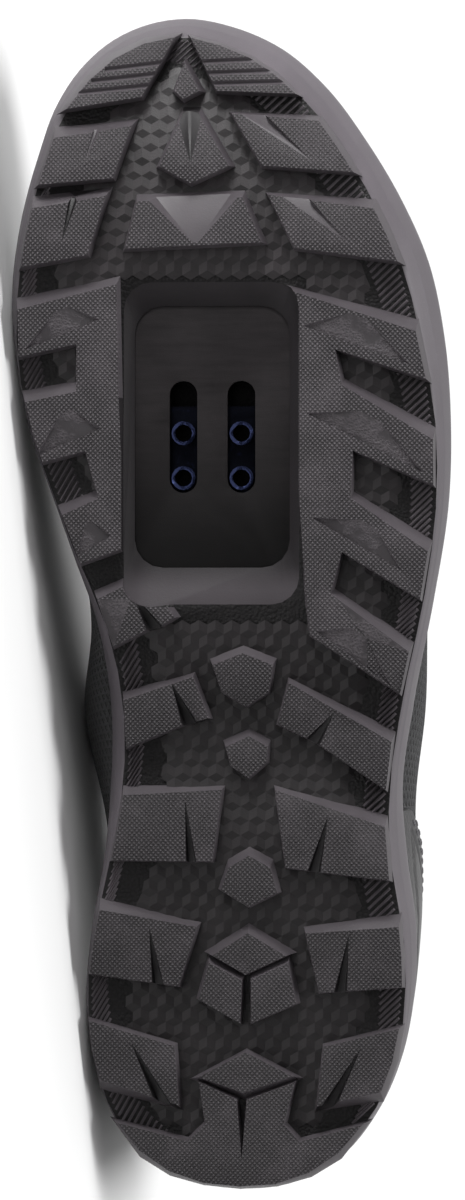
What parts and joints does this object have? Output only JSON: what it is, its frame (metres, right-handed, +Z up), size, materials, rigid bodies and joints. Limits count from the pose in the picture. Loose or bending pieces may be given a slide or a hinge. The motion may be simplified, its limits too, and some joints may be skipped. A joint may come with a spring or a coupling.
{
  "type": "cycling shoe",
  "caption": "Low-cut off-road cycling shoe with a lugged rubber sole, a recessed slotted cleat plate and hook-and-loop straps, lying on its side.",
  "frame": {"origin": "centre of the bounding box, on the floor that the shoe lies on", "axes": "+Z up, +X from toe to heel, +Y from the sole to the top of the shoe, which lies on its medial side"},
  "size_m": [0.2854, 0.1226, 0.1037],
  "materials": {
    "outsole_rubber": "moulded matte, knurled lug faces",
    "midsole_foam": "matte foam",
    "cleat_plate_plastic": "fine matte",
    "nut_steel": "dark plated",
    "insole_fabric": "brushed knit",
    "upper_mesh": "woven mesh",
    "tongue_fabric": "padded mesh",
    "overlay_synthetic": "fine grained",
    "strap_synthetic": "fine grained synthetic leather"
  },
  "bodies": {
    "shoe": {"outsole": "outsole_rubber", "midsole": "midsole_foam", "cleat_plate": "cleat_plate_plastic", "insole": "insole_fabric", "upper": "upper_mesh", "tongue": "tongue_fabric", "toe_cap": "overlay_synthetic", "heel_counter": "overlay_synthetic", "strap_front": "strap_synthetic", "strap_middle": "strap_synthetic", "strap_top": "strap_synthetic"},
    "cleat_nut": {"cleat_nut_plate": "nut_steel"}
  },
  "joints": [
    {"name": "cleat_nut_slide", "type": "slide", "parent": "shoe", "child": "cleat_nut", "axis": [-0.9941, 0, 0.1087], "range_m": [0, 0.009]}
  ]
}
